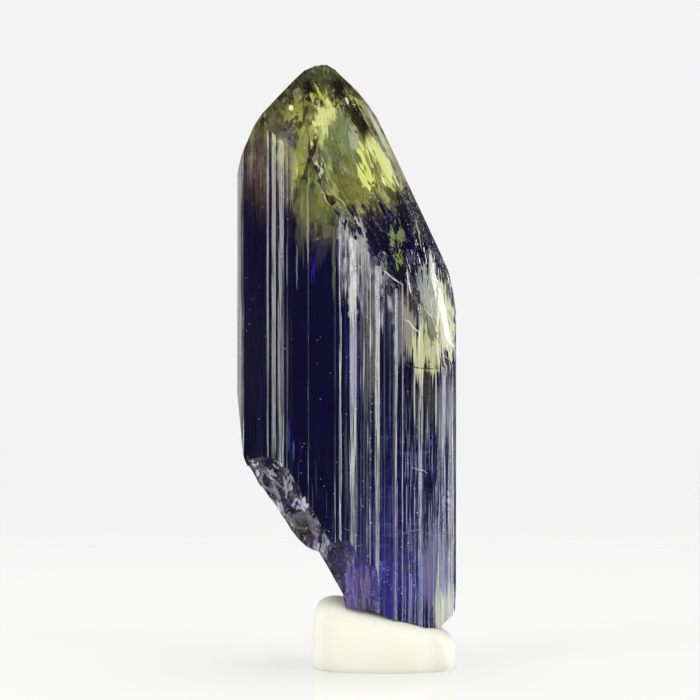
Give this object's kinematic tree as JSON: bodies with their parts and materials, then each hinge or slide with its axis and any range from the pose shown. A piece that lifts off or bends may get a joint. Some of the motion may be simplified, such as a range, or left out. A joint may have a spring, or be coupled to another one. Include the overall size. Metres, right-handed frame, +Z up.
{
  "type": "tanzanite crystal on display putty",
  "caption": "Upright two-coloured tanzanite crystal, yellow-green at the tip and violet-blue below, with striated sides and a broken base pressed onto a white putty lump.",
  "frame": {"origin": "centre of the object's footprint box, on the surface that it stands on", "axes": "+Z up along the crystal, +X to the right as the picture shows it, +Y away from the viewer"},
  "size_m": [0.0124, 0.0088, 0.0342],
  "materials": {
    "crystal": "transparent, glossy, finely striated along its length",
    "putty": "soft matt"
  },
  "bodies": {
    "root": {"tanzanite_crystal": "crystal", "display_putty": "putty"}
  },
  "joints": []
}
